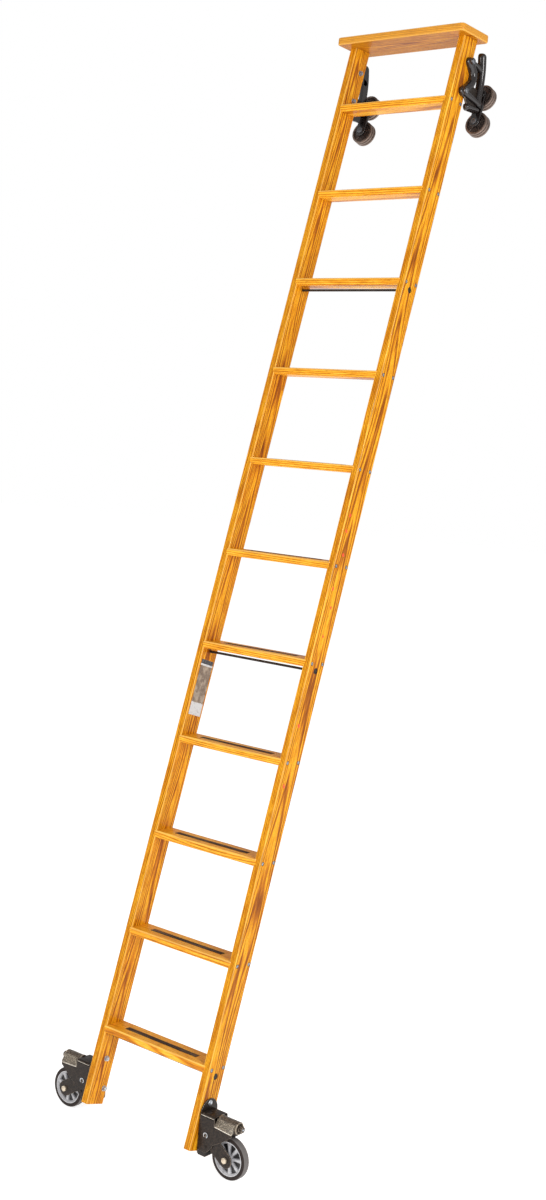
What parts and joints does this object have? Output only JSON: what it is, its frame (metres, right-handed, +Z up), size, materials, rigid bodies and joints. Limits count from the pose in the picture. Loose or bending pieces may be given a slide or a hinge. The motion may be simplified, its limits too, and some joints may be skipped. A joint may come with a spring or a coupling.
{
  "type": "mobile ladder stand",
  "caption": "Wooden rolling ladder with flat treads and a wide top step, leaning back on rail rollers at the top and running on sprung wheels at the foot.",
  "frame": {"origin": "floor level under the middle of the ladder's bounding box, with the wheels standing on Z = 0", "axes": "+X across the ladder towards its right side as seen by a climber facing it, +Y horizontally away from the climber towards the rail, +Z up"},
  "size_m": [0.801, 1.0568, 3.58],
  "materials": {
    "oak": "clear gloss varnish over amber-stained oak",
    "grip": "fine gritty strip",
    "dark_steel": "satin brown-black powder coat",
    "barrel_steel": "smoother satin brown-black enamel",
    "cast_iron": "painted casting, satin",
    "zinc": "zinc plated",
    "axle_bolt": "yellow-passivated",
    "spring": "oiled spring wire",
    "rubber": "matt",
    "tyre": "matt solid rubber",
    "rim": "moulded grey",
    "bush": "sintered bronze",
    "roller": "dark enamel with a worn tread",
    "label": "printed film with no words"
  },
  "bodies": {
    "ladder": {"stile_left": "oak", "stile_right": "oak", "tread_01": "oak", "tread_02": "oak", "tread_03": "oak", "tread_04": "oak", "tread_05": "oak", "tread_06": "oak", "tread_07": "oak", "tread_08": "oak", "tread_09": "oak", "tread_10": "oak", "tread_11": "oak", "top_step": "oak", "grip_strips": "grip", "tie_rods": "dark_steel", "tread_screws": "zinc", "top_step_screws": "zinc", "label": "label", "mount_plate_left": "dark_steel", "mount_plate_right": "dark_steel", "housing_left": "dark_steel", "housing_right": "dark_steel", "barrel_left": "barrel_steel", "barrel_right": "barrel_steel", "brake_shoes": "rubber", "rubber_feet": "rubber", "pivot_pins": "zinc", "stop_pins": "zinc", "plate_bolts": "zinc", "spring_left": "spring", "spring_right": "spring", "top_bracket_left": "cast_iron", "top_bracket_right": "cast_iron", "roller_carrier_left": "cast_iron", "roller_carrier_right": "cast_iron", "bracket_bolts": "zinc", "roller_axles": "zinc"},
    "arm_left": {"arm_left": "dark_steel", "axle_bolt_left": "axle_bolt", "axle_spacers_left": "zinc"},
    "wheel_left": {"rim_left": "rim", "tyre_left": "tyre", "bush_left": "bush"},
    "draw_rod_left": {"draw_rod_left": "zinc", "rod_nut_left": "dark_steel"},
    "roller_upper_left": {"roller_upper_left": "roller"},
    "roller_lower_left": {"roller_lower_left": "roller"},
    "arm_right": {"arm_right": "dark_steel", "axle_bolt_right": "axle_bolt", "axle_spacers_right": "zinc"},
    "wheel_right": {"rim_right": "rim", "tyre_right": "tyre", "bush_right": "bush"},
    "draw_rod_right": {"draw_rod_right": "zinc", "rod_nut_right": "dark_steel"},
    "roller_upper_right": {"roller_upper_right": "roller"},
    "roller_lower_right": {"roller_lower_right": "roller"}
  },
  "joints": [
    {"name": "arm_pivot_left", "type": "hinge", "parent": "ladder", "child": "arm_left", "pos_m": [-0.26, -0.46813, 0.115], "axis": [0, 1, 0], "range_deg": [0, 8.5], "stiffness_Nm_per_rad": 60, "springref_deg": -17.19},
    {"name": "wheel_spin_left", "type": "hinge", "parent": "arm_left", "child": "wheel_left", "pos_m": [-0.337, -0.46813, 0.0635], "axis": [0, 1, 0], "continuous": true},
    {"name": "rod_slide_left", "type": "slide", "parent": "ladder", "child": "draw_rod_left", "axis": [1, 0, 0], "range_m": [0, 0.0088], "deforming": ["spring_left"]},
    {"name": "roller_spin_upper_left", "type": "hinge", "parent": "ladder", "child": "roller_upper_left", "pos_m": [-0.231, 0.50506, 3.39009], "axis": [0, 0.9694, -0.2453], "continuous": true},
    {"name": "roller_spin_lower_left", "type": "hinge", "parent": "ladder", "child": "roller_lower_left", "pos_m": [-0.231, 0.48151, 3.29702], "axis": [0, 0.9694, -0.2453], "continuous": true},
    {"name": "arm_pivot_right", "type": "hinge", "parent": "ladder", "child": "arm_right", "pos_m": [0.26, -0.46813, 0.115], "axis": [0, -1, 0], "range_deg": [0, 8.5], "stiffness_Nm_per_rad": 60, "springref_deg": -17.19},
    {"name": "wheel_spin_right", "type": "hinge", "parent": "arm_right", "child": "wheel_right", "pos_m": [0.337, -0.46813, 0.0635], "axis": [0, 1, 0], "continuous": true},
    {"name": "rod_slide_right", "type": "slide", "parent": "ladder", "child": "draw_rod_right", "axis": [-1, 0, 0], "range_m": [0, 0.0088], "deforming": ["spring_right"]},
    {"name": "roller_spin_upper_right", "type": "hinge", "parent": "ladder", "child": "roller_upper_right", "pos_m": [0.231, 0.50506, 3.39009], "axis": [0, 0.9694, -0.2453], "continuous": true},
    {"name": "roller_spin_lower_right", "type": "hinge", "parent": "ladder", "child": "roller_lower_right", "pos_m": [0.231, 0.48151, 3.29702], "axis": [0, 0.9694, -0.2453], "continuous": true}
  ],
  "couplings": [
    {"joint": "rod_slide_left", "follows": "arm_pivot_left", "m_per_rad": 0.058},
    {"joint": "rod_slide_right", "follows": "arm_pivot_right", "m_per_rad": 0.058}
  ]
}
